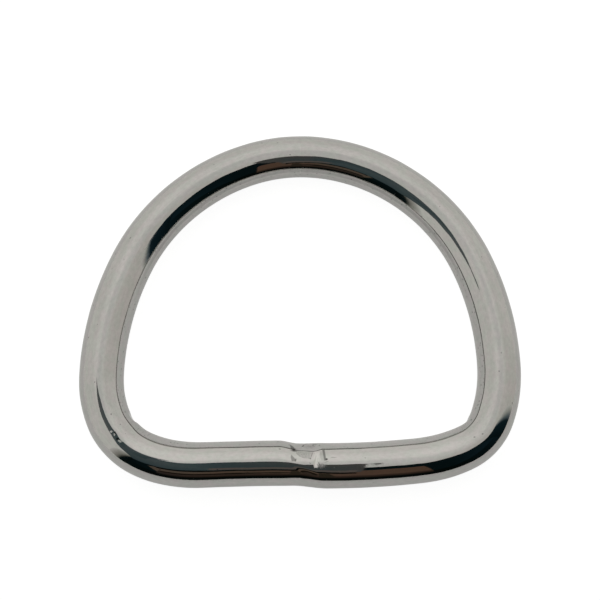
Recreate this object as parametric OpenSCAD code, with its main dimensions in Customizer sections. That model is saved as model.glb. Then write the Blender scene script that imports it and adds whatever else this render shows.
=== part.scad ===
// Welded D ring: one length of round stainless wire, bent into a bow, two corners and a straight
// bar, butt welded at the middle of the bar and polished. It lies flat: X runs along the bar,
// +Y from the bar to the crown, +Z up, and the origin is under the middle of the ring.

/* [Trade size] */
// Clear width between the two sides, which is the width of the webbing
inside_w = 40; // [32:0.5:46]
// Clear height from the bar to the crown
inside_h = 31.8; // [29:0.1:42]
// Diameter of the wire
wire_d = 5; // [3:0.1:6.5]

/* [Bow] */
// Radius of the crown, as a share of half the ring's width between wire centres
crown_share = 0.844; // [0.7:0.002:0.9]
// Radius of the right shoulder, as a share of the same half width
right_shoulder_share = 0.982; // [0.94:0.002:1]
// Radius of the left shoulder, as a share of the same half width
left_shoulder_share = 1.018; // [0.96:0.002:1.03]
// Angle that the crown covers right of the middle
right_crown_deg = 6; // [2:1:25]
// Angle that the crown covers left of the middle
left_crown_deg = 19; // [8:1:28]

/* [Right corner] */
// Radius of the wire's centre where the right side starts to turn in
right_lead_r = 16.5; // [10:0.5:22]
// Angle of that first turn
right_lead_deg = 21; // [10:1:30]
// Radius inside the corner
right_corner_r = 3.3; // [2:0.1:6]
// Angle of the tight bend
right_corner_deg = 45; // [30:1:55]
// Radius of the wire's centre where the corner runs out into the bar
right_foot_r = 17.5; // [10:0.5:22]
// Angle by which the bar still rises towards the right corner
right_bar_deg = 6; // [2:0.5:8]

/* [Left corner] */
// Radius of the wire's centre where the left side starts to turn in
left_lead_r = 12.5; // [8:0.5:20]
// Angle of that first turn
left_lead_deg = 22; // [10:1:30]
// Radius inside the corner
left_corner_r = 5.3; // [3:0.1:7]
// Angle of the tight bend
left_corner_deg = 46; // [30:1:55]
// Radius of the wire's centre where the corner runs out into the bar
left_foot_r = 15.5; // [10:0.5:20]
// Angle by which the left half of the bar is bent too far
left_bar_deg = 2; // [0.5:0.5:4]
// Radius of the wire's centre where the bar is pressed straight again
left_bar_r = 75; // [40:5:120]

/* [Weld] */
// Step between the two wire ends at the weld
weld_step = 0.28; // [0.1:0.02:0.8]
// Length of bar over which the step is ground away
weld_run = 4.8; // [3:0.1:8]
// Depth that the weld is ground below the wire, all round
waist_depth = 0.12; // [0.04:0.01:0.3]
// Length of the ground waist
waist_len = 2.8; // [1.5:0.1:6]
// Depth of the flat that is filed on the weld's upper inside
flat_depth = 0.1; // [0.04:0.01:0.25]
// Tilt of that flat from level
flat_deg = 42; // [20:1:70]

/* [Bending marks] */
// Radius of the forming pin that marks each inside corner
pin_r = 1.8; // [1:0.1:1.9]
// Depth of the mark in the right corner
right_mark = 0.3; // [0.05:0.01:0.5]
// Depth of the mark in the left corner
left_mark = 0.15; // [0.05:0.01:0.5]

/* [Hidden] */
$fn = 96;

wire_r = wire_d / 2;
// Half the width, and the height, between wire centres
half_w = (inside_w + wire_d) / 2;
centre_h = inside_h + wire_d;
crown_r = crown_share * half_w;
crown_y = centre_h / 2;

// The step at the weld is two equal bends, one each way
step_deg = 2 * atan(weld_step / weld_run);
step_r = weld_run / (2 * sin(step_deg));

// A waist is cut by a round wheel that touches the wire at waist_depth
wheel_r = (pow(waist_len / 2, 2) + pow(waist_depth, 2)) / (2 * waist_depth);

// Every second row of the wire is thinner by a hair and laps a little into its neighbours, so that
// the rows meet in clean circles and the whole wire is one solid
hair = 0.004;
lap = 0.06;

// A row of the wire is [radius, degrees]: bent right if the radius is positive, left if it is
// negative. A row [0, length] is straight.
function row_end(row, heading) = row[0] == 0
    ? row[1] * [cos(heading), sin(heading)]
    : row[0] * [sin(heading) - sin(row_heading(row, heading)),
                cos(row_heading(row, heading)) - cos(heading)];
function row_heading(row, heading) = row[0] == 0 ? heading : heading - sign(row[0]) * row[1];

// Where a run of rows ends, as [x, y, heading], from a start in the same form
function run_end(rows, at, i = 0) = i == len(rows)
    ? at
    : run_end(rows, [at.x + row_end(rows[i], at.z).x,
                     at.y + row_end(rows[i], at.z).y,
                     row_heading(rows[i], at.z)], i + 1);

// The corner, from the widest point of a side down to the bar. turn is the bend that it makes in all.
function corner(lead_r, lead_deg, inner_r, corner_deg, foot_r, turn) = [
    [lead_r, lead_deg],
    [inner_r + wire_r, corner_deg],
    [foot_r, turn - lead_deg - corner_deg]];

// The shoulder and side of one half, from the crown's end to the widest point, which lies rise
// below the crown's top. The side's arc is the one that meets the shoulder without a kink and
// stands upright at the widest point.
function bow(crown_deg, shoulder_r, rise) =
    let (cx = (crown_r - shoulder_r) * sin(crown_deg),
         cy = rise - crown_r + (crown_r - shoulder_r) * cos(crown_deg),
         reach = half_w - cx,
         side_r = (pow(shoulder_r, 2) - pow(reach, 2) - pow(cy, 2)) / (2 * (shoulder_r - reach)),
         side_from = atan2(cx - half_w + side_r, cy))
    [[shoulder_r, side_from - crown_deg],
     [side_r, 90 - side_from]];

// Where the crown ends on one side, as [x, y, heading]
function crown_end(crown_deg) = run_end([[crown_r, crown_deg]], [0, crown_y, 0]);

// Right half. The bar's own bow takes up all its length between the corner and the weld.
right_corner = corner(right_lead_r, right_lead_deg, right_corner_r, right_corner_deg,
                      right_foot_r, 90 - right_bar_deg);
right_foot = run_end(right_corner, [half_w, 0, -90]);
right_bar = [[(right_foot.x - weld_run / 2) / sin(right_bar_deg), right_bar_deg]];
right_drop = -run_end(right_bar, right_foot).y;
right_bow = bow(right_crown_deg, right_shoulder_share * half_w, centre_h - right_drop);
weld_bends = [[step_r, step_deg], [-step_r, step_deg]];
right_rows = concat(right_bow, right_corner, right_bar, weld_bends);

// Left half, worked out as if it were on the right, and mirrored. It ends higher by the step.
left_corner = corner(left_lead_r, left_lead_deg, left_corner_r, left_corner_deg,
                     left_foot_r, 90 + left_bar_deg);
left_foot = run_end(left_corner, [half_w, 0, -90]);
left_straight = (left_foot.x - weld_run / 2 - left_bar_r * sin(left_bar_deg)) / cos(left_bar_deg);
left_bar = [[0, left_straight], [-left_bar_r, left_bar_deg]];
left_drop = -run_end(left_bar, left_foot).y;
left_bow = bow(left_crown_deg, left_shoulder_share * half_w, centre_h - weld_step - left_drop);
left_rows = concat(left_bow, left_corner, left_bar);

// Centre and middle direction of a side's tight bend, as [x, y, direction outwards]
function corner_centre(crown_deg, bow_rows, corner_rows) =
    let (at = run_end(concat(bow_rows, [corner_rows[0]]), crown_end(crown_deg)),
         r = corner_rows[1][0])
    [at.x + r * sin(at.z), at.y - r * cos(at.z), at.z + 90 - corner_rows[1][1] / 2];

// One row of wire, starting at the origin along +X. A thin row laps over both its ends.
module wire_row(row, thin) {
    r = wire_r - (thin ? hair : 0);
    over = thin ? lap : 0;
    if (row[0] == 0)
        translate([-over, 0, 0]) rotate([0, 90, 0]) cylinder(h = row[1] + 2 * over, r = r);
    else {
        bend_r = abs(row[0]);
        over_deg = over / bend_r * 180 / PI;
        mirror([0, row[0] < 0 ? 1 : 0, 0])
            translate([0, -bend_r, 0])
                rotate([0, 0, 90 - row[1] - over_deg])
                    rotate_extrude(angle = row[1] + 2 * over_deg) translate([bend_r, 0]) circle(r = r);
    }
}

// A run of rows from a start [x, y, heading], each placed where the one before it ends
module wire_run(rows, from, i = 0) {
    translate([from.x, from.y, wire_r]) rotate([0, 0, from.z]) wire_row(rows[i], i % 2 == 0);
    if (i < len(rows) - 1) wire_run(rows, run_end([rows[i]], from), i + 1);
}

// The ground waist round the weld, and the filed flat on its upper inside
module weld_grinding() {
    weld_y = -crown_y + weld_step / 2;
    translate([0, weld_y, wire_r]) {
        rotate([0, 90, 0]) rotate_extrude() translate([wire_r - waist_depth + wheel_r, 0]) circle(r = wheel_r);
        rotate([90 - flat_deg, 0, 0]) translate([-waist_len / 2, wire_r - waist_depth - flat_depth, -wire_r])
            cube([waist_len, wire_r, wire_d]);
    }
}

// The mark that the forming pin leaves in the inside of a corner
module pin_mark(centre, inner_r, depth) {
    reach = inner_r + depth - pin_r;
    translate([centre.x + reach * cos(centre.z), centre.y + reach * sin(centre.z), 0])
        cylinder(h = wire_d, r = pin_r);
}

module ring() color([0.72, 0.72, 0.7]) difference() {
    union() {
        translate([0, crown_y - crown_r, wire_r]) rotate([0, 0, 90 - right_crown_deg])
            rotate_extrude(angle = right_crown_deg + left_crown_deg)
                translate([crown_r, 0]) circle(r = wire_r);
        wire_run(right_rows, crown_end(right_crown_deg));
        mirror([1, 0, 0]) wire_run(left_rows, crown_end(left_crown_deg));
    }
    weld_grinding();
    pin_mark(corner_centre(right_crown_deg, right_bow, right_corner), right_corner_r, right_mark);
    mirror([1, 0, 0])
        pin_mark(corner_centre(left_crown_deg, left_bow, left_corner), left_corner_r, left_mark);
}

ring();
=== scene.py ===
import math

import bpy
import numpy as np
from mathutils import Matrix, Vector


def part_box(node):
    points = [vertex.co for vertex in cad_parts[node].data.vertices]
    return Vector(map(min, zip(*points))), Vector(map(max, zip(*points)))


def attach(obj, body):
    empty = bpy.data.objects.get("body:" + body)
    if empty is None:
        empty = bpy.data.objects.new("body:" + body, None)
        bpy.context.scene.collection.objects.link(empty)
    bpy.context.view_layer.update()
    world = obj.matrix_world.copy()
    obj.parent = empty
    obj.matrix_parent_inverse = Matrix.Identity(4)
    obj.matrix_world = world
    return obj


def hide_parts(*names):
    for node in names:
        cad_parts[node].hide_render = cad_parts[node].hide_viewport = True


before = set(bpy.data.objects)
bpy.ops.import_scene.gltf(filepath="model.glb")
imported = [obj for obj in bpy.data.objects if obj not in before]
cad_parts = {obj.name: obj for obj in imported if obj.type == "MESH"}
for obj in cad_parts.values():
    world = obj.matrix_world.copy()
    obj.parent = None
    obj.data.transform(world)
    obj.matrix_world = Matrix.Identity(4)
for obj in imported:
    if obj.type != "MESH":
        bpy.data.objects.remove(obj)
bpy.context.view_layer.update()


# The wire
# One length of round stainless wire, bent cold round formers into a bow, two corners and a bar.
# Its ends meet in the middle of the bar. Lengths here are millimetres, and MM makes them metres.
MM = 0.001
low, high = [np.array(corner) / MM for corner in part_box("ring")]
wire_r = (high[2] - low[2]) / 2
half_w = (high[0] - low[0]) / 2 - wire_r
centre_h = high[1] - low[1] - 2 * wire_r
crown_y = high[1] - wire_r

# The bow's radii as shares of the half width, and the angles that the crown covers
crown_r = 0.844 * half_w
right_shoulder_r = 0.982 * half_w
left_shoulder_r = 1.018 * half_w
right_crown_deg = 6
left_crown_deg = 19

# The weld's step between the wire ends, and the length of bar over which it is ground away
weld_step = 0.28
weld_run = 4.8

# A row of the wire is [radius, degrees], bent right if the radius is positive and left if it is
# negative. A row [0, length] is straight. Each corner is its lead, its tight bend and its foot.
right_bar_deg = 6
right_lead = [16.5, 21]
right_bend = [3.3 + wire_r, 45]
right_corner = [right_lead, right_bend, [17.5, 90 - right_bar_deg - right_lead[1] - right_bend[1]]]
left_bar_deg = 2
left_bar_r = 75
left_lead = [12.5, 22]
left_bend = [5.3 + wire_r, 46]
left_corner = [left_lead, left_bend, [15.5, 90 + left_bar_deg - left_lead[1] - left_bend[1]]]

# The widest point of a side, where the wire runs straight down towards the bar
widest = [half_w, 0, -math.pi / 2]
line_gap = 0.01


def walk(rows, start):
    """Close points [x, y, heading] along a run of rows, from a start in the same form."""
    reach = [np.array([start])]
    for radius, amount in rows:
        x, y, heading = reach[-1][-1]
        length = abs(radius) * math.radians(amount) if radius else amount
        travel = np.linspace(0, length, int(length / line_gap) + 2)[1:]
        if radius:
            turned = heading - travel / radius
            xs = x + radius * (math.sin(heading) - np.sin(turned))
            ys = y + radius * (np.cos(turned) - math.cos(heading))
        else:
            turned = np.full_like(travel, heading)
            xs = x + travel * math.cos(heading)
            ys = y + travel * math.sin(heading)
        reach.append(np.stack([xs, ys, turned], axis=1))
    return np.concatenate(reach)


def bow(crown_deg, shoulder_r, rise):
    """Shoulder and side of one half, from the crown's end to the widest point, rise below the top."""
    turn = math.radians(crown_deg)
    cx = (crown_r - shoulder_r) * math.sin(turn)
    cy = rise - crown_r + (crown_r - shoulder_r) * math.cos(turn)
    reach = half_w - cx
    side_r = (shoulder_r ** 2 - reach ** 2 - cy ** 2) / (2 * (shoulder_r - reach))
    side_from = math.degrees(math.atan2(cx - half_w + side_r, cy))
    return [[shoulder_r, side_from - crown_deg], [side_r, 90 - side_from]]


def half_ring(crown_deg, shoulder_r, corner, bar, rise_to_bar):
    """One half of the ring from the middle of the crown to the weld, drawn as if on the right."""
    drop = -walk(corner + bar, widest)[-1][1]
    rows = [[crown_r, crown_deg]] + bow(crown_deg, shoulder_r, rise_to_bar - drop) + corner + bar
    return walk(rows, [0, crown_y, 0])[:, :2]


right_foot = walk(right_corner, widest)[-1]
right_bar_r = (right_foot[0] - weld_run / 2) / math.sin(math.radians(right_bar_deg))
right_bar = [[right_bar_r, right_bar_deg]]
left_foot = walk(left_corner, widest)[-1]
left_turn = math.radians(left_bar_deg)
left_straight = (left_foot[0] - weld_run / 2 - left_bar_r * math.sin(left_turn)) / math.cos(left_turn)
left_bar = [[0, left_straight], [-left_bar_r, left_bar_deg]]
step_deg = 2 * math.degrees(math.atan(weld_step / weld_run))
step_r = weld_run / (2 * math.sin(math.radians(step_deg)))
weld_bends = [[step_r, step_deg], [-step_r, step_deg]]

right_half = half_ring(right_crown_deg, right_shoulder_r, right_corner, right_bar, centre_h)
right_half = np.concatenate([right_half, walk(weld_bends, [*right_half[-1], math.pi])[1:, :2]])
left_half = half_ring(left_crown_deg, left_shoulder_r, left_corner, left_bar, centre_h - weld_step)
left_half = left_half * [-1, 1]

# The whole centre line, clockwise from the weld: up the left side and down the right one. The weld's
# middle is among its last points.
centre_line = np.concatenate([left_half[::-1], right_half[1:]])
last_points = 600
weld_end = np.argmin(np.abs(centre_line[-last_points:, 0])) + len(centre_line) - last_points
centre_line = np.roll(centre_line[:-1], -weld_end, axis=0)
hop = np.linalg.norm(np.roll(centre_line, -1, axis=0) - centre_line, axis=1)
along_line = np.concatenate([[0], np.cumsum(hop)])
wire_length = along_line[-1]


def around(half_run):
    """Thirteen steps to both sides of a place, to average over."""
    return np.linspace(-half_run, half_run, 13)


def on_line(along):
    """Centre and outward direction at distances along the wire. The bends run softly into each other."""
    closed = np.vstack([centre_line, centre_line[:1]])

    def place(at):
        at = np.mod(at, wire_length)
        return np.stack([np.interp(at, along_line, closed[:, axis]) for axis in (0, 1)], axis=1)

    nearby = around(0.6)
    hair = 0.05
    centre = np.mean([place(along + off) for off in nearby], axis=0)
    ahead = np.mean([place(along + off + hair) - place(along + off - hair) for off in nearby], axis=0)
    ahead /= np.linalg.norm(ahead, axis=1)[:, None]
    return centre, np.stack([-ahead[:, 1], ahead[:, 0]], axis=1)


# Stations stand closest at the weld, and closer in the corners than in the bow
stations = 1000
marks_x, marks_reach, marks_crowding = 0.6, 3.2, 2.6
corner_x, corner_reach, corner_crowding, corner_top_y = 19.0, 4.0, 0.6, -8
fine = np.arange(0, wire_length, 0.02)
fine_x, fine_y = on_line(fine)[0].T
near_weld = np.exp(-((fine_x - marks_x) / marks_reach) ** 4) * (fine_y < 0)
near_corner = np.exp(-((np.abs(fine_x) - corner_x) / corner_reach) ** 4) * (fine_y < corner_top_y)
crowding = np.cumsum(1 + marks_crowding * near_weld + corner_crowding * near_corner)
crowding = np.concatenate([[0], crowding])
along = np.interp(np.arange(stations) / stations * crowding[-1], crowding,
                  np.append(fine, wire_length))
centre, outward = on_line(along)

# Angles round the wire are 0 on its outside, 90 on top and 180 on its inside, and stand closer on top
sides = 96
top_crowding = 0.35
even = np.arange(sides) / sides * 2 * math.pi
round_angle = even + top_crowding * np.sin(even) - math.pi / 2
flat_share = np.cos(round_angle)[None, :]
lift_share = np.sin(round_angle)[None, :]
round_deg = np.degrees(round_angle)[None, :]
from_outside_deg = np.degrees(np.arccos(flat_share))


def soft_step(value, start, end):
    """0 before start and 1 past end, with a smooth way between."""
    share = np.clip((value - start) / (end - start), 0, 1)
    return share * share * (3 - 2 * share)


def soft_run(value, start, full, waning, end):
    """0 before start, 1 from full to waning and 0 past end, with smooth ways between."""
    return soft_step(value, start, full) * (1 - soft_step(value, waning, end))


# Drawing, bending and polishing leave the wire thinner in some places than in others. A row is a
# place along the wire, and how far the worn surface lies in from the round wire on the ring's outside
# and on its inside.
wear = np.array([(4, 0.05, 0.00), (8, 0.09, -0.03), (12, 0.085, -0.085), (16, 0.03, -0.045),
                 (20, 0.11, -0.03), (24, 0.065, 0.02), (28, 0.03, 0.00), (36, 0.03, 0.00),
                 (44, 0.02, 0.045), (52, 0.04, 0.02), (64, 0.07, 0.03), (72, 0.04, 0.08),
                 (80, 0.087, 0.055), (92, 0.11, 0.065), (104, 0.085, 0.09), (109, 0.07, 0.11),
                 (111.5, 0.14, 0.10), (114, 0.20, 0.10), (117, 0.05, 0.05), (120, 0.04, 0.02),
                 (128, 0.03, 0.02), (132, 0.04, 0.00)])
outside_wear, inside_wear = [
    np.mean([np.interp(along + off, wear[:, 0], wear[:, side], period=wire_length)
             for off in around(1.2)], axis=0)[:, None] for side in (1, 2)]
above_floor = np.clip(1 + lift_share, 0, 1)
relief = -above_floor * (outside_wear * (1 + flat_share) + inside_wear * (1 - flat_share)) / 2

# Hand polishing leaves long, very shallow waves
waves = np.random.default_rng(5)
wave_count = 26
wave_depth = 0.0008
for _ in range(wave_count):
    turns = waves.integers(-4, 5)
    crests = waves.integers(12, 46)
    phase = waves.uniform(0, 2 * math.pi)
    along_phase = 2 * math.pi * crests * along[:, None] / wire_length
    wave = np.cos(along_phase + turns * round_angle[None, :] + phase)
    relief = relief + wave_depth * above_floor * wave

# The forming tool bites into the inside of both corners and leaves an edge with blunt kinks. A row
# is a place along the wire, and how deep the upright bite is there.
right_bite = np.array([(112.2, 0.06), (113.25, 0.245), (113.95, 0.215), (114.7, 0.15), (116.0, 0.05)])
left_bite = np.array([(20.35, -0.04), (20.8, 0.02), (21.1, 0.10), (21.8, 0.175), (22.45, 0.155),
                      (23.3, -0.02)])
clear_of_tool = -1.0
bite = np.full(stations, clear_of_tool)
for rows in (right_bite, left_bite):
    inside_rows = (along > rows[0, 0]) & (along < rows[-1, 0])
    bite[inside_rows] = np.interp(along[inside_rows], rows[:, 0], rows[:, 1])

# The bar is pressed a little flat along its upper inside, most on the left of the weld, and the crown
# bulges there by a hair. A row is mm right of the weld and how deep the bar is pressed. A relief's
# reach is four places, where it starts, is full, wanes and ends: press_round and its like are degrees
# round the wire, and pinch_along and seam_along are mm right of the weld.
from_weld = np.where(along > wire_length / 2, wire_length - along, -along)[:, None]
press = np.array([(-21, 0), (-17, 0.075), (-12, 0.055), (-1, 0.055), (3, 0.065), (6, 0.035), (10, 0.042),
                  (16, 0.055), (21, 0)])
pressed = np.mean([np.interp(from_weld + off, press[:, 0], press[:, 1]) for off in around(1.5)], axis=0)
press_round = (100, 142, 142, 174)
relief = relief - pressed * soft_run(round_deg, *press_round)
crown_bulge = 0.035
bulge_round = (118, 150, 150, 184)
bulge = crown_bulge * soft_step(centre[:, 1], 0, 14)[:, None]
relief = relief + bulge * soft_run(round_deg, *bulge_round)

# The left corner is pinched by the bending, so its top turns over faster than a round wire does
pinch_depth = 0.095
pinch_along = (-21.2, -19.2, -17.5, -9)
pinch_round = (70, 112, 140, 178)
pinch = pinch_depth * soft_run(from_weld, *pinch_along)
relief = relief - pinch * soft_run(round_deg, *pinch_round)

# The weld lies in the middle of the bar. The left wire end stands higher by a step, which has been
# ground away soon on the inside and slowly on the outside, and the seam is a shallow ground flat.
inner_step_x, outer_step_x = -1.45, 1.10
inner_step_half, outer_step_half = 0.95, 1.85
outerness = 1 - soft_step(from_outside_deg, 60, 100)
step_middle = inner_step_x + (outer_step_x - inner_step_x) * outerness
edgeness = 1 - soft_step(from_outside_deg, 0, 60)
step_half = inner_step_half + (outer_step_half - inner_step_half) * edgeness
ground_away = soft_step(from_weld, step_middle - step_half, step_middle + step_half)
share = np.clip(from_weld / weld_run + 0.5, 0, 1)
bent_away = np.where(share < 0.5, 2 * share ** 2, 1 - 2 * (1 - share) ** 2)
relief = relief + weld_step * (ground_away - bent_away) * flat_share
waist_depth, waist_x, waist_half = 0.03, 0.3, 1.3
relief = relief - waist_depth * np.exp(-((from_weld - waist_x) / waist_half) ** 2) * above_floor


def ground_flat(middle_deg, depth):
    """What a flat stone takes off that leans at an angle round the wire, and bites to a depth."""
    steepest = 0.5
    lean = np.clip(np.cos(round_angle[None, :] - math.radians(middle_deg)), steepest, 1)
    return np.clip(wire_r - (wire_r - depth) / lean, 0, None)


seam_flat_deg = 138
seam_flat_depth = 0.074
seam_along = (-0.75, -0.5, 1.3, 2.5)
seam_depth = seam_flat_depth * soft_run(from_weld, *seam_along)
relief = relief - ground_flat(seam_flat_deg, seam_depth)

# One stroke of a file crosses the top, slants a little, and runs out wider on the right at its foot
stroke_x, stroke_slant = 1.64, 0.18
stroke_half, stroke_foot = 0.16, 0.30
stroke_flat_deg = 97
stroke_flat_depth = 0.115
stroke_middle = stroke_x + stroke_slant * soft_step(round_deg, 84, 120)
stroke_side = stroke_half + stroke_foot * (from_weld > stroke_middle) * (1 - soft_step(round_deg, 80, 96))
stroke_depth = stroke_flat_depth * np.clip(1.5 - np.abs(from_weld - stroke_middle) / stroke_side, 0, 1)
relief = relief - ground_flat(stroke_flat_deg, stroke_depth)


def wire_points(radius):
    """Points of the wire's surface for a radius at each station and angle, with the bites cut."""
    flat = np.maximum(flat_share * radius, -(wire_r - bite)[:, None])
    points = np.empty((stations, sides, 3))
    points[..., :2] = centre[:, None, :] + outward[:, None, :] * flat[..., None]
    points[..., 2] = np.clip(wire_r + lift_share * radius, 0, 2 * wire_r)
    return points


surface = wire_points(wire_r + relief)

ring_mesh = bpy.data.meshes.new("wire_ring")
index = np.arange(stations * sides).reshape(stations, sides)
next_station = np.roll(index, -1, axis=0)
faces = np.stack([index, np.roll(index, -1, axis=1), np.roll(next_station, -1, axis=1), next_station],
                 axis=-1).reshape(-1, 4)
ring_mesh.from_pydata((surface.reshape(-1, 3) * MM).tolist(), [], faces.tolist())
ring_mesh.polygons.foreach_set("use_smooth", np.ones(len(faces), dtype=bool))

# The map runs along the wire from the weld and round it from its underside, in millimetres
map_along = np.append(along, wire_length)
map_round = np.append(round_angle, round_angle[0] + 2 * math.pi) * wire_r
station_no, side_no = np.divmod(np.arange(stations * sides), sides)
corner_along = map_along[station_no[:, None] + np.array([0, 0, 1, 1])]
corner_round = map_round[side_no[:, None] + np.array([0, 1, 1, 0])]
wire_map = ring_mesh.uv_layers.new(name="wire_map")
wire_map.uv.foreach_set("vector", np.stack([corner_along, corner_round], axis=-1).ravel())

# A second map has the weld in its middle, positive to the right
weld_along = np.append(from_weld[:, 0], from_weld[0, 0])
corner_from_weld = weld_along[station_no[:, None] + np.array([0, 0, 1, 1])]
weld_map = ring_mesh.uv_layers.new(name="weld_map")
weld_map.uv.foreach_set("vector", np.stack([corner_from_weld, corner_round], axis=-1).ravel())
ring_mesh.update()

ring = bpy.data.objects.new("wire_ring", ring_mesh)
bpy.context.scene.collection.objects.link(ring)

# Stainless steel, polished bright after welding. Polishing leaves fine lines along the wire, small pits and
# faint clouds, and painted highlights, painted shade and painted reflections lie on it in places.
steel = bpy.data.materials.new("polished_stainless")
steel.use_nodes = True
steel_links = steel.node_tree.links
steel_shader = steel.node_tree.nodes["Principled BSDF"]
ring_mesh.materials.append(steel)


def steel_node(kind, inputs, output=0, **settings):
    """Adds a node to the steel, with its inputs by place or name, and gives one of its outputs."""
    node = steel.node_tree.nodes.new("ShaderNode" + kind)
    for name, value in settings.items():
        setattr(node, name, value)
    for place, value in inputs.items():
        if isinstance(value, bpy.types.NodeSocket):
            steel_links.new(value, node.inputs[place])
        else:
            node.inputs[place].default_value = value
    return node.outputs[output]


def count(operation, first, second=0.0, third=0.0):
    """Arithmetic on two or three numbers or sockets."""
    return steel_node("Math", {0: first, 1: second, 2: third}, operation=operation)


def fade(value, start, end):
    """A soft way from 0 at start to 1 at end."""
    return steel_node("MapRange", {"Value": value, "From Min": start, "From Max": end},
                      interpolation_type="SMOOTHSTEP")


wire_place = steel_node("UVMap", {}, uv_map="wire_map")
weld_place = steel_node("UVMap", {}, uv_map="weld_map")
MM_PER_DEG = wire_r * math.pi / 180


def grain(stretch, size, detail=2.0, seed=0.0):
    """Noise on the wire's own map. stretch is how many times longer it is than wide, size in mm."""
    place = steel_node("Mapping", {"Vector": wire_place, "Location": (seed, seed, 0),
                                   "Scale": (1 / (stretch * size), 1 / size, 1)})
    return steel_node("TexNoise", {"Vector": place, "Scale": 1.0, "Detail": detail},
                      noise_dimensions="2D")


def spot(middle, half_length, half_width, lean=0.0, crisp=0.35):
    """1 inside a small oval mark. Its middle is mm right of the weld and degrees round the wire."""
    at = (middle[0], middle[1] * MM_PER_DEG, 0)
    oval = steel_node("Mapping", {"Vector": weld_place, "Location": at,
                                  "Rotation": (0, 0, math.radians(lean)),
                                  "Scale": (half_length, half_width, 1)}, vector_type="TEXTURE")
    reach = steel_node("VectorMath", {0: oval}, output="Value", operation="LENGTH")
    return fade(reach, 1 + crisp, 1 - crisp)


def facet(corners, soft):
    """1 inside a ground facet with straight sides, through corners given counterclockwise."""
    points = [(x, deg * MM_PER_DEG) for x, deg in corners]
    inside = None
    for (ax, ay), (bx, by) in zip(points, points[1:] + points[:1]):
        side = math.hypot(bx - ax, by - ay)
        inward = ((ay - by) / side, (bx - ax) / side, 0)
        far = steel_node("VectorMath", {0: weld_place, 1: inward}, output="Value",
                         operation="DOT_PRODUCT")
        depth = count("SUBTRACT", far, inward[0] * ax + inward[1] * ay)
        inside = depth if inside is None else count("MINIMUM", inside, depth)
    return fade(inside, -soft, soft)


def scratch(start, end, half_width):
    """1 along a short straight scratch between two places, each mm right of the weld and degrees."""
    run = (end[0] - start[0], (end[1] - start[1]) * MM_PER_DEG)
    middle = ((start[0] + end[0]) / 2, (start[1] + end[1]) / 2)
    lean = math.degrees(math.atan2(run[1], run[0]))
    return spot(middle, math.hypot(*run) / 2 + half_width, half_width, lean)


# Fine lines and clouds lie over the whole wire. Each makes the steel brighter and darker by a share.
lines = grain(14, 0.16, 3)
fine_lines = grain(9, 0.07, 2, 31.0)
clouds = grain(1.6, 0.34, 4, 7.0)
broad_clouds = grain(2.5, 1.9, 2, 53.0)
polish_and_painted_light = 1.0
for cloud, share in ((lines, 0.06), (clouds, 0.20), (broad_clouds, 0.12)):
    polish_and_painted_light = count("MULTIPLY_ADD", cloud, share, count("SUBTRACT", polish_and_painted_light, share / 2))

round_mm = steel_node("SeparateXYZ", {0: weld_place}, output="Y")
weld_mm = steel_node("SeparateXYZ", {0: weld_place}, output="X")
off_weld = count("ABSOLUTE", weld_mm)


def fade_round(start_deg, end_deg):
    """A soft way round the wire, from 0 at one angle to 1 at another."""
    return fade(round_mm, start_deg * MM_PER_DEG, end_deg * MM_PER_DEG)


# Painted highlights lie on the bar's upper inside and its inside, and a line of painted shade on the
# crown's inside
bar_full, bar_end = 16, 21
crown_start, crown_full = 36, 46
highlight_brighter, inside_brighter, crown_shade_darker = 0.13, 0.09, 0.24
on_bar = fade(off_weld, bar_end, bar_full)
on_crown = fade(off_weld, crown_start, crown_full)
bar_painted_highlight = count("MULTIPLY", count("MULTIPLY", on_bar, fade_round(78, 92)), fade_round(140, 128))
polish_and_painted_light = count("MULTIPLY_ADD", bar_painted_highlight, highlight_brighter, polish_and_painted_light)
crown_painted_shade = count("MULTIPLY", count("MULTIPLY", on_crown, fade_round(149, 152)), fade_round(163, 159))
polish_and_painted_light = count("MULTIPLY_ADD", crown_painted_shade, -crown_shade_darker, polish_and_painted_light)
bar_inside = count("MULTIPLY", on_bar, fade_round(130, 140))
polish_and_painted_light = count("MULTIPLY_ADD", bar_inside, inside_brighter, polish_and_painted_light)

# Small ragged pits lie along the wire's inside, and hardly any on its top. Their sizes are mm. A row
# is the size of the cells that hold a pit or none, the share of cells that hold none on the top, and
# a seed.
ragged = steel_node("VectorMath", {0: grain(1, 0.1, 2, 61.0), 1: (0.5, 0.5, 0.5)}, operation="SUBTRACT")
inside_run = count("MULTIPLY", fade_round(136, 144), fade_round(178, 168))
more_inside = 0.42
pit_darkness = 0.50
smallest_pit, pit_spread = 0.02, 0.05
ragged_length, ragged_width = 0.22, 0.12
pit_edge, pit_floor = 0.05, -0.03
pits = None
for cell_size, empty_share, seed in ((1.15, 0.975, 3.0), (0.6, 0.985, 17.0)):
    place = steel_node("Mapping", {"Vector": wire_place, "Location": (seed, seed, 0),
                                   "Scale": (0.8 / cell_size, 1 / cell_size, 1)})
    push = (ragged_length / cell_size, ragged_width / cell_size, 0)
    place = steel_node("VectorMath", {0: ragged, 1: push, 2: place}, operation="MULTIPLY_ADD")
    reach = steel_node("TexVoronoi", {"Vector": place, "Scale": 1.0}, output="Distance",
                       voronoi_dimensions="2D")
    cell = steel_node("TexVoronoi", {"Vector": place, "Scale": 1.0}, output="Color",
                      voronoi_dimensions="2D")
    chance = steel_node("SeparateColor", {0: cell}, output="Red")
    needed = count("MULTIPLY_ADD", inside_run, -more_inside, empty_share)
    wide = steel_node("SeparateColor", {0: cell}, output="Green")
    rim = count("MULTIPLY_ADD", wide, pit_spread / cell_size, smallest_pit / cell_size)
    hole = count("MULTIPLY", count("GREATER_THAN", chance, needed),
                 fade(count("SUBTRACT", reach, rim), pit_edge, pit_floor))
    pits = hole if pits is None else count("MAXIMUM", pits, hole)
polish_and_painted_light = count("MULTIPLY", polish_and_painted_light, count("MULTIPLY_ADD", pits, -pit_darkness, 1.0))
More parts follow.
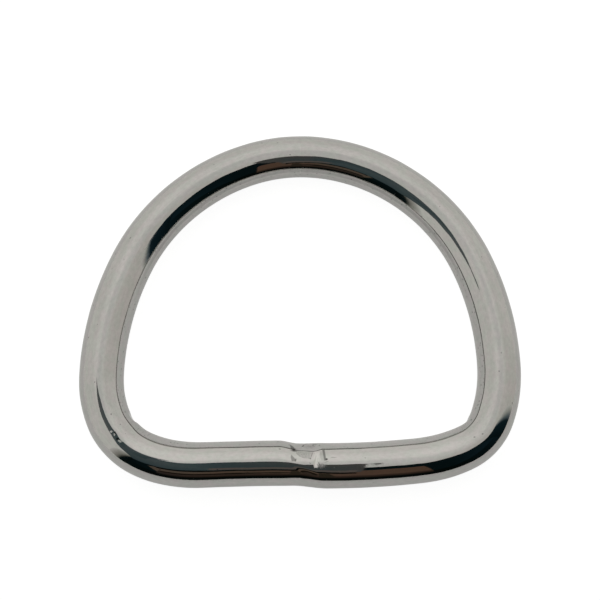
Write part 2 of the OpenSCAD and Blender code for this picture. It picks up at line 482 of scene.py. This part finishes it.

# Marks of the grinding round the weld. They are matt in places, with painted shade at the step, painted
# dark reflections on some facets and a painted highlight on the file stroke. A facet's corners are mm right
# of the weld and degrees round the wire. A row of marks is a mark, how much darker it is and how much more
# matt.
# Painted shade darkens the step's wedge, its foot and the ground next to it
step_wedge = facet([(-1.30, 148), (-1.15, 130), (-0.88, 120.5), (-0.68, 121.5), (-0.66, 127),
                    (-0.95, 141)], 0.06)
step_painted_shade = spot((-0.84, 122), 0.30, 0.15, -8, 0.5)
step_shadow = spot((-0.66, 128), 0.26, 0.30, 0, 0.9)
# A corner facet and its edge are painted dark, a painted reflection of dark surroundings
corner_dark_reflection = facet([(-1.05, 108.5), (-1.09, 102), (-0.95, 91), (-0.52, 92), (-0.48, 95.5)], 0.06)
edge_dark_reflection = spot((-0.54, 95), 0.09, 0.17, -10, 0.6)
matt_field = facet([(-0.62, 121), (-0.50, 112.5), (-0.16, 105.4), (0.43, 102), (1.07, 101.3),
                    (1.22, 111.2), (1.36, 121.5)], 0.06)
line_shadow = facet([(2.14, 124), (2.10, 106), (2.30, 98), (2.60, 98), (2.42, 124)], 0.08)
# The file line is a narrow facet painted dark, a painted reflection of dark surroundings
file_line = facet([(2.37, 129), (2.57, 98), (2.80, 98), (2.63, 129)], 0.05)
rim_patch = facet([(0, 144.5), (0.41, 138.5), (1.10, 133.3), (1.45, 142), (1.66, 150), (1.68, 157),
                   (0.64, 161), (0.24, 155.5)], 0.05)
# The file stroke's facet is painted brighter, a painted highlight
stroke_highlight = facet([(1.92, 78), (2.06, 121), (1.50, 121), (1.42, 78)], 0.05)
stroke_side_matt = spot((2.25, 84), 0.45, 0.28, 0, 0.7)
field_pit = spot((1.05, 102), 0.09, 0.08)
line_pit = spot((2.84, 101.4), 0.12, 0.11)
mottle = fade(grain(1, 0.13, 2, 71.0), 0.35, 0.65)
marks = [(step_wedge, 0.60, 0.10), (step_painted_shade, 0.55, 0.0), (step_shadow, 0.22, 0.0),
         (corner_dark_reflection, 0.48, 0.10), (edge_dark_reflection, 0.40, 0.0), (matt_field, 0.14, 0.22),
         (count("MULTIPLY", matt_field, mottle), 0.14, 0.0), (line_shadow, 0.14, 0.08),
         (file_line, 0.58, 0.10), (rim_patch, 0.0, 0.14), (count("MULTIPLY", rim_patch, mottle), 0.14, 0.0),
         (stroke_highlight, -0.14, 0.03), (stroke_side_matt, 0.0, 0.30), (field_pit, 0.45, 0.1),
         (line_pit, 0.80, 0.1)]

# Its scratches, and in the first three rows a dark line painted along the seam, a painted reflection. A row
# is a start and an end, each mm right of the weld and degrees round the wire, the half width and how much
# darker it is.
for start, end, half_width, darker in (
        ((-0.71, 124), (0.30, 125.2), 0.065, 0.52), ((0.30, 125.2), (1.33, 123.2), 0.065, 0.54),
        ((1.33, 123.2), (2.22, 129.7), 0.05, 0.40), ((-0.55, 114), (-0.12, 105.2), 0.05, 0.14),
        ((-0.10, 105.2), (0.43, 102.4), 0.04, 0.18), ((1.24, 118), (1.14, 106), 0.05, 0.28),
        ((0.0, 144.5), (0.20, 154), 0.065, 0.62), ((0.20, 154), (0.62, 159), 0.045, 0.42),
        ((1.20, 156), (1.72, 155), 0.065, 0.66), ((0.50, 139), (0.66, 135), 0.04, 0.25),
        ((2.67, 93.7), (3.05, 96.6), 0.05, 0.26), ((3.33, 105.9), (3.89, 105.8), 0.045, 0.30),
        ((1.95, 40), (2.35, 36), 0.03, 0.18)):
    marks.append((scratch(start, end, half_width), darker, 0.0))

# The bending tool has rubbed faint lines across the inside of the corners, and left a few pits. A
# row is mm right of the weld, degrees round, half length, half width and lean in degrees.
rubbed_darkness = 0.26
for mark in ((-22.97, 149, 0.14, 0.11, 0), (-21.08, 153, 0.26, 0.035, 80), (-19.65, 151, 0.34, 0.045, 98),
             (-18.79, 151, 0.26, 0.04, 84), (-17.86, 152, 0.34, 0.045, 102), (26.57, 154, 0.17, 0.13, 20),
             (23.87, 152, 0.13, 0.11, 0), (23.46, 156, 0.13, 0.10, 0), (21.3, 150, 0.20, 0.12, 0),
             (19.10, 150, 0.30, 0.05, 70)):
    marks.append((spot(mark[:2], *mark[2:]), rubbed_darkness, 0.0))

shade = polish_and_painted_light
smoothest, line_roughness = 0.022, 0.035
matt = count("MULTIPLY_ADD", fine_lines, line_roughness, smoothest)
for mask, darker, rougher in marks:
    if darker:
        shade = count("MULTIPLY", shade, count("MULTIPLY_ADD", mask, -darker, 1.0))
    if rougher:
        matt = count("MULTIPLY_ADD", mask, rougher, matt)

# Where the wire was stretched most, three torn pits on the left corner's top are rougher and carry a
# painted highlight, two of them beside deep ones. A row is a place, its half length, half width and lean.
torn_matt, torn_painted_glint, deep_darkness = 0.5, 0.30, 0.80
for pit in (((-21.48, 86.6), 0.15, 0.11, 60), ((-21.01, 88.6), 0.15, 0.09, -40),
            ((-20.10, 86.4), 0.24, 0.10, 10)):
    torn_and_glint = spot(*pit)
    matt = count("MULTIPLY_ADD", torn_and_glint, torn_matt, matt)
    shade = count("MULTIPLY_ADD", torn_and_glint, torn_painted_glint, shade)
for pit in (((-21.11, 92.4), 0.16, 0.10, -30), ((-20.42, 86.6), 0.15, 0.15, 0)):
    shade = count("MULTIPLY", shade, count("MULTIPLY_ADD", spot(*pit), -deep_darkness, 1.0))

# The bare steel is grey with a warm and a cool cast in its clouds
cool_steel = (0.522, 0.525, 0.500)
warm_steel = (0.545, 0.523, 0.512)
cast = fade(grain(2, 0.8, 3, 91.0), 0.38, 0.62)
bare_steel = steel_node("Mix", {"Factor": cast, "A": (*cool_steel, 1), "B": (*warm_steel, 1)},
                        output="Result", data_type="RGBA")
coloured = steel_node("Mix", {"Factor": 1.0, "A": bare_steel, "B": shade}, output="Result",
                      data_type="RGBA", blend_type="MULTIPLY")
steel_links.new(coloured, steel_shader.inputs["Base Color"])
steel_links.new(matt, steel_shader.inputs["Roughness"])
steel_shader.inputs["Metallic"].default_value = 1

# The lines, clouds and pits can be felt too, as shares of a very small height
bump_height = 0.012
bump_strength = 0.35
line_height, cloud_height, pit_depth = 0.16, 0.20, 0.5
height = count("MULTIPLY_ADD", pits, -pit_depth, count("MULTIPLY", lines, line_height))
height = count("MULTIPLY_ADD", clouds, cloud_height, height)
relief_bump = steel_node("Bump", {"Height": height, "Strength": bump_strength,
                                  "Distance": bump_height * MM}, output="Normal")
steel_links.new(relief_bump, steel_shader.inputs["Normal"])

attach(ring, "root")
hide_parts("ring")


# The floor
# A plain pale sheet. One sheet shows to the camera, nearly white with a faint shadow, and one at
# the same height shows only in the metal, as matt paper lit by the tent.
def sheet(name, corners, material):
    """A flat piece of the studio through corners in millimetres."""
    mesh = bpy.data.meshes.new(name)
    mesh.from_pydata([tuple(np.array(corner) * MM) for corner in corners], [], [range(len(corners))])
    mesh.materials.append(material)
    piece = bpy.data.objects.new(name, mesh)
    bpy.context.scene.collection.objects.link(piece)
    return piece


def paper(name, colour, glow):
    """Matt paper that also glows by itself."""
    material = bpy.data.materials.new(name)
    material.use_nodes = True
    shader = material.node_tree.nodes["Principled BSDF"]
    shader.inputs["Base Color"].default_value = (*colour, 1)
    shader.inputs["Roughness"].default_value = 1
    shader.inputs["Specular IOR Level"].default_value = 0
    shader.inputs["Emission Color"].default_value = (1, 1, 1, 1)
    shader.inputs["Emission Strength"].default_value = glow
    return material


floor_half = 3000
floor_corners = [(x * floor_half, y * floor_half, 0) for x, y in ((-1, -1), (1, -1), (1, 1), (-1, 1))]
floor_grey, floor_glow = (0.3, 0.3, 0.3), 0.92
mirrored_grey, mirrored_glow = (0.6, 0.6, 0.59), 0.33
floor = sheet("floor", floor_corners, paper("floor_paper", floor_grey, floor_glow))
floor.visible_glossy = False
floor.visible_diffuse = False
floor.visible_shadow = False
mirrored_floor = sheet("mirrored_floor", floor_corners, paper("tent_paper", mirrored_grey, mirrored_glow))
mirrored_floor.visible_camera = False
mirrored_floor.visible_diffuse = False
mirrored_floor.visible_shadow = False


# The camera
# A long lens looks down on the ring from the side of the bar, fifteen degrees off the upright.
camera_tilt = math.radians(15)
camera_height = 106.0
aim = np.array([-0.045, 0.545, wire_r])
camera_at = aim + [0, -camera_height * math.tan(camera_tilt), camera_height]
camera_data = bpy.data.cameras.new("camera")
camera_data.lens = 57
camera_data.sensor_width = 36
camera = bpy.data.objects.new("camera", camera_data)
camera.location = camera_at * MM
camera.rotation_euler = (camera_tilt, 0, 0)
bpy.context.scene.collection.objects.link(camera)
bpy.context.scene.camera = camera
bpy.context.scene.view_settings.view_transform = "Standard"


# The light
# A white tent stands round the ring, brighter behind it than at its sides. The world is the tent's
# cloth. Cards that the camera doesn't see are the tent's dark open front and the boards in it.
world = bpy.data.worlds.new("tent")
bpy.context.scene.world = world
world.use_nodes = True
tent = world.node_tree
facing = tent.nodes.new("ShaderNodeTexCoord")
split = tent.nodes.new("ShaderNodeSeparateXYZ")
tent.links.new(facing.outputs["Generated"], split.inputs[0])


def ramp(value, start, end):
    """A soft step of the tent's brightness, from 0 at start to 1 at end."""
    step = tent.nodes.new("ShaderNodeMapRange")
    step.interpolation_type = "SMOOTHSTEP"
    step.inputs["From Min"].default_value = start
    step.inputs["From Max"].default_value = end
    tent.links.new(value, step.inputs["Value"])
    return step.outputs["Result"]


def blend(amount, under, over):
    """One cloth colour laid over another by an amount."""
    mix = tent.nodes.new("ShaderNodeMix")
    mix.data_type = "RGBA"
    tent.links.new(amount, mix.inputs["Factor"])
    for socket, colour in ((mix.inputs["A"], under), (mix.inputs["B"], over)):
        if isinstance(colour, tuple):
            socket.default_value = (*colour, 1)
        else:
            tent.links.new(colour, socket)
    return mix.outputs["Result"]


left_wall = (0.69, 0.69, 0.655)
right_wall = (0.60, 0.585, 0.55)
back_wall = (0.735, 0.73, 0.695)
lamplit_cloth = (0.84, 0.83, 0.80)
top_cloth = (0.665, 0.665, 0.645)
towards_lamp = (-0.10, 0.50, 0.86)
lamp_side = tent.nodes.new("ShaderNodeVectorMath")
lamp_side.operation = "DOT_PRODUCT"
lamp_side.inputs[1].default_value = towards_lamp
tent.links.new(facing.outputs["Generated"], lamp_side.inputs[0])
walls = blend(ramp(split.outputs["X"], -0.9, 0.9), left_wall, right_wall)
walls = blend(ramp(split.outputs["Y"], -0.1, 0.6), walls, back_wall)
walls = blend(ramp(lamp_side.outputs["Value"], 0.78, 1.0), walls, lamplit_cloth)
walls = blend(ramp(split.outputs["Z"], 0.93, 1.0), walls, top_cloth)
tent.links.new(walls, tent.nodes["Background"].inputs["Color"])


def card(name, corners, *shades):
    """A flat studio card that the camera doesn't see, of one shade or one for each corner."""
    material = bpy.data.materials.new(name)
    material.use_nodes = True
    nodes = material.node_tree.nodes
    shade = nodes.new("ShaderNodeVertexColor")
    shade.layer_name = "shade"
    glow = nodes.new("ShaderNodeEmission")
    material.node_tree.links.new(shade.outputs["Color"], glow.inputs["Color"])
    material.node_tree.links.new(glow.outputs[0], nodes["Material Output"].inputs["Surface"])
    piece = sheet(name, corners, material)
    shades = [(*colour, 1) for colour in shades] * (1 if len(shades) > 1 else len(corners))
    layer = piece.data.attributes.new("shade", "FLOAT_COLOR", "POINT")
    layer.data.foreach_set("color", np.array(shades).ravel())
    piece.visible_camera = False
    return piece


def upright(name, start, end, bottom, top, start_shade, end_shade):
    """An upright card between two places on the floor, which runs from one shade to another."""
    card(name, [(*start, bottom), (*end, bottom), (*end, top), (*start, top)],
         start_shade, end_shade, end_shade, start_shade)


# The open front, from near black in its depth to the cloth at its edges
black = (0.002, 0.004, 0.0035)
dim = (0.003, 0.008, 0.009)
blue_dim = (0.006, 0.016, 0.022)
dusk = (0.11, 0.14, 0.15)
cloth = (0.60, 0.60, 0.575)
shaded_cloth = (0.42, 0.42, 0.39)
dark_cloth = (0.27, 0.27, 0.24)
dusty = (0.055, 0.06, 0.05)
roof = 272
lip = 26
front = -600
right_edge = (334, -90)
right_fold = (334, -230)
right_front = (right_edge[0], front)
left_edge = (-98, -91)
left_end = (-300, -240)
left_front = (left_end[0], front)
roof_outline = {(-60, -45): dim, (20, -112): dim, (70, -108): dim, (100, -90): dim, (125, -82): dim,
                (142, -67): blue_dim, (165, -50): blue_dim, (222, -42): blue_dim, right_edge: blue_dim,
                right_front: dim, left_front: dim, left_end: dim}
card("open_roof", [(x, y, roof) for x, y in roof_outline], *roof_outline.values())
upright("open_front_edge", right_edge, right_fold, lip, roof, blue_dim, dim)
upright("open_front_right", right_fold, right_front, lip, roof, dim, black)
upright("open_front", right_front, left_front, lip, roof, black, black)
upright("open_front_left", left_front, left_end, lip, roof, black, dim)

# The folds of the cloth at both sides of the opening, from its dark edge to the lit tent
near_low = 8
left_dusk = (-98, -89)
left_shade = (-98, -83)
left_fade = (-98, -76)
left_cloth = (-98, -70)
upright("near_left", left_edge, (-130, -140), near_low, roof, dim, black)
upright("near_left_dusk", left_edge, left_dusk, near_low, roof, dim, dusty)
upright("near_left_shade", left_dusk, left_shade, near_low, roof, dusty, dark_cloth)
upright("near_left_fade", left_shade, left_fade, near_low, roof, dark_cloth, shaded_cloth)
upright("near_left_cloth", left_fade, left_cloth, near_low, roof, shaded_cloth, cloth)
near_top = 140
right_dim = (90, -27)
right_dusk = (90, -24)
right_shade = (90, -20)
right_cloth = (90, -17)
upright("near_right", right_dim, (90, -48), near_low, near_top, blue_dim, dim)
upright("near_right_dusk", right_dusk, right_dim, near_low, near_top, dusk, blue_dim)
upright("near_right_fade", right_shade, right_dusk, near_low, near_top, shaded_cloth, dusk)
upright("near_right_cloth", right_cloth, right_shade, near_low, near_top, cloth, shaded_cloth)

# A slate board lies in the plane of the lens, with a paler edge towards the front, and its left
# wing lies a little lower
pale_slate = (0.125, 0.132, 0.128)
wing_slate = (0.084, 0.107, 0.111)
slate = (0.044, 0.068, 0.074)
brown_slate = (0.074, 0.072, 0.068)
slate_edge = (0.115, 0.100, 0.090)


def in_lens_plane(x, y, below=0):
    """A place in the plane of the lens, over a point of the floor."""
    return (x, y, camera_at[2] + (y - camera_at[1]) * math.tan(camera_tilt) - below)


slate_outline = {(-70, -28): wing_slate, (-46, -4): wing_slate, (-37, 0.5): wing_slate, (-31, -4): slate,
                 (-27, -9.5): slate, (-20, -13): slate, (-15, -10.5): slate, (-10, -13): slate,
                 (-4, -17): slate, (4, -20): brown_slate, (9, -18): brown_slate, (17.2, -18): brown_slate,
                 (17.5, -58): brown_slate, (17.5, -94): brown_slate, (-5, -85): slate, (-20, -79): slate,
                 (-80, -79): slate}
card("slate_board", [in_lens_plane(*place) for place in slate_outline], *slate_outline.values())
edge_places = ((-17, -60), (15, -74), (15, -93), (-17, -77))
edge_below = 0.5
card("slate_pale_edge", [in_lens_plane(x, y, edge_below) for x, y in edge_places], slate_edge)
wing_tip = (0.30, 0.31, 0.30)
wing_height = 95
wing_outline = {(-43.5, 6.4): wing_tip, (-50, 3.4): pale_slate, (-56, -0.5): pale_slate,
                (-60, -8): wing_slate, (-63, -20): wing_slate, (-66, -34): wing_slate, (-40, -30): slate,
                (-30, -8): slate, (-26, 0.8): wing_slate, (-31, 3): wing_slate, (-36, 4.0): pale_slate}
card("slate_wing", [(x, y, wing_height) for x, y in wing_outline], *wing_outline.values())

# A tan board with a dark foot, two dark slots and a post stands in front of it, each a millimetre
# nearer than the last. Its places are mm to the right and mm above the floor.
grey_tan = (0.100, 0.078, 0.058)
warm_tan = (0.105, 0.060, 0.040)
grey_foot = (0.045, 0.036, 0.030)
warm_foot = (0.075, 0.046, 0.032)
dark_slot = (0.016, 0.012, 0.008)
dark_wood = (0.034, 0.027, 0.018)
board = -120
board_outline = {(50, 60): warm_tan, (50, 160): warm_tan, (15, 160): grey_tan, (-60, 160): grey_tan,
                 (-80, 120): grey_tan, (-60, 60): grey_tan}
foot_outline = {(-60, 34): black, (50, 34): black, (50, 66): warm_foot, (-60, 66): grey_foot}
high_slot = ((-70, 120), (-15, 117), (5, 104), (18, 93), (18, 117), (5, 134), (-15, 155), (-70, 157))
low_slot = ((-60, 66), (-12, 64), (1, 72), (1, 80), (-12, 83), (-60, 85))
post = ((-1, 48), (9, 48), (7, 96), (1, 100))
card("tan_board", [(x, board, z) for x, z in board_outline], *board_outline.values())
card("board_foot", [(x, board + 1, z) for x, z in foot_outline], *foot_outline.values())
card("high_slot", [(x, board + 1, z) for x, z in high_slot], black)
card("low_slot", [(x, board + 2, z) for x, z in low_slot], dark_slot)
card("dark_post", [(x, board + 3, z) for x, z in post], dark_wood)
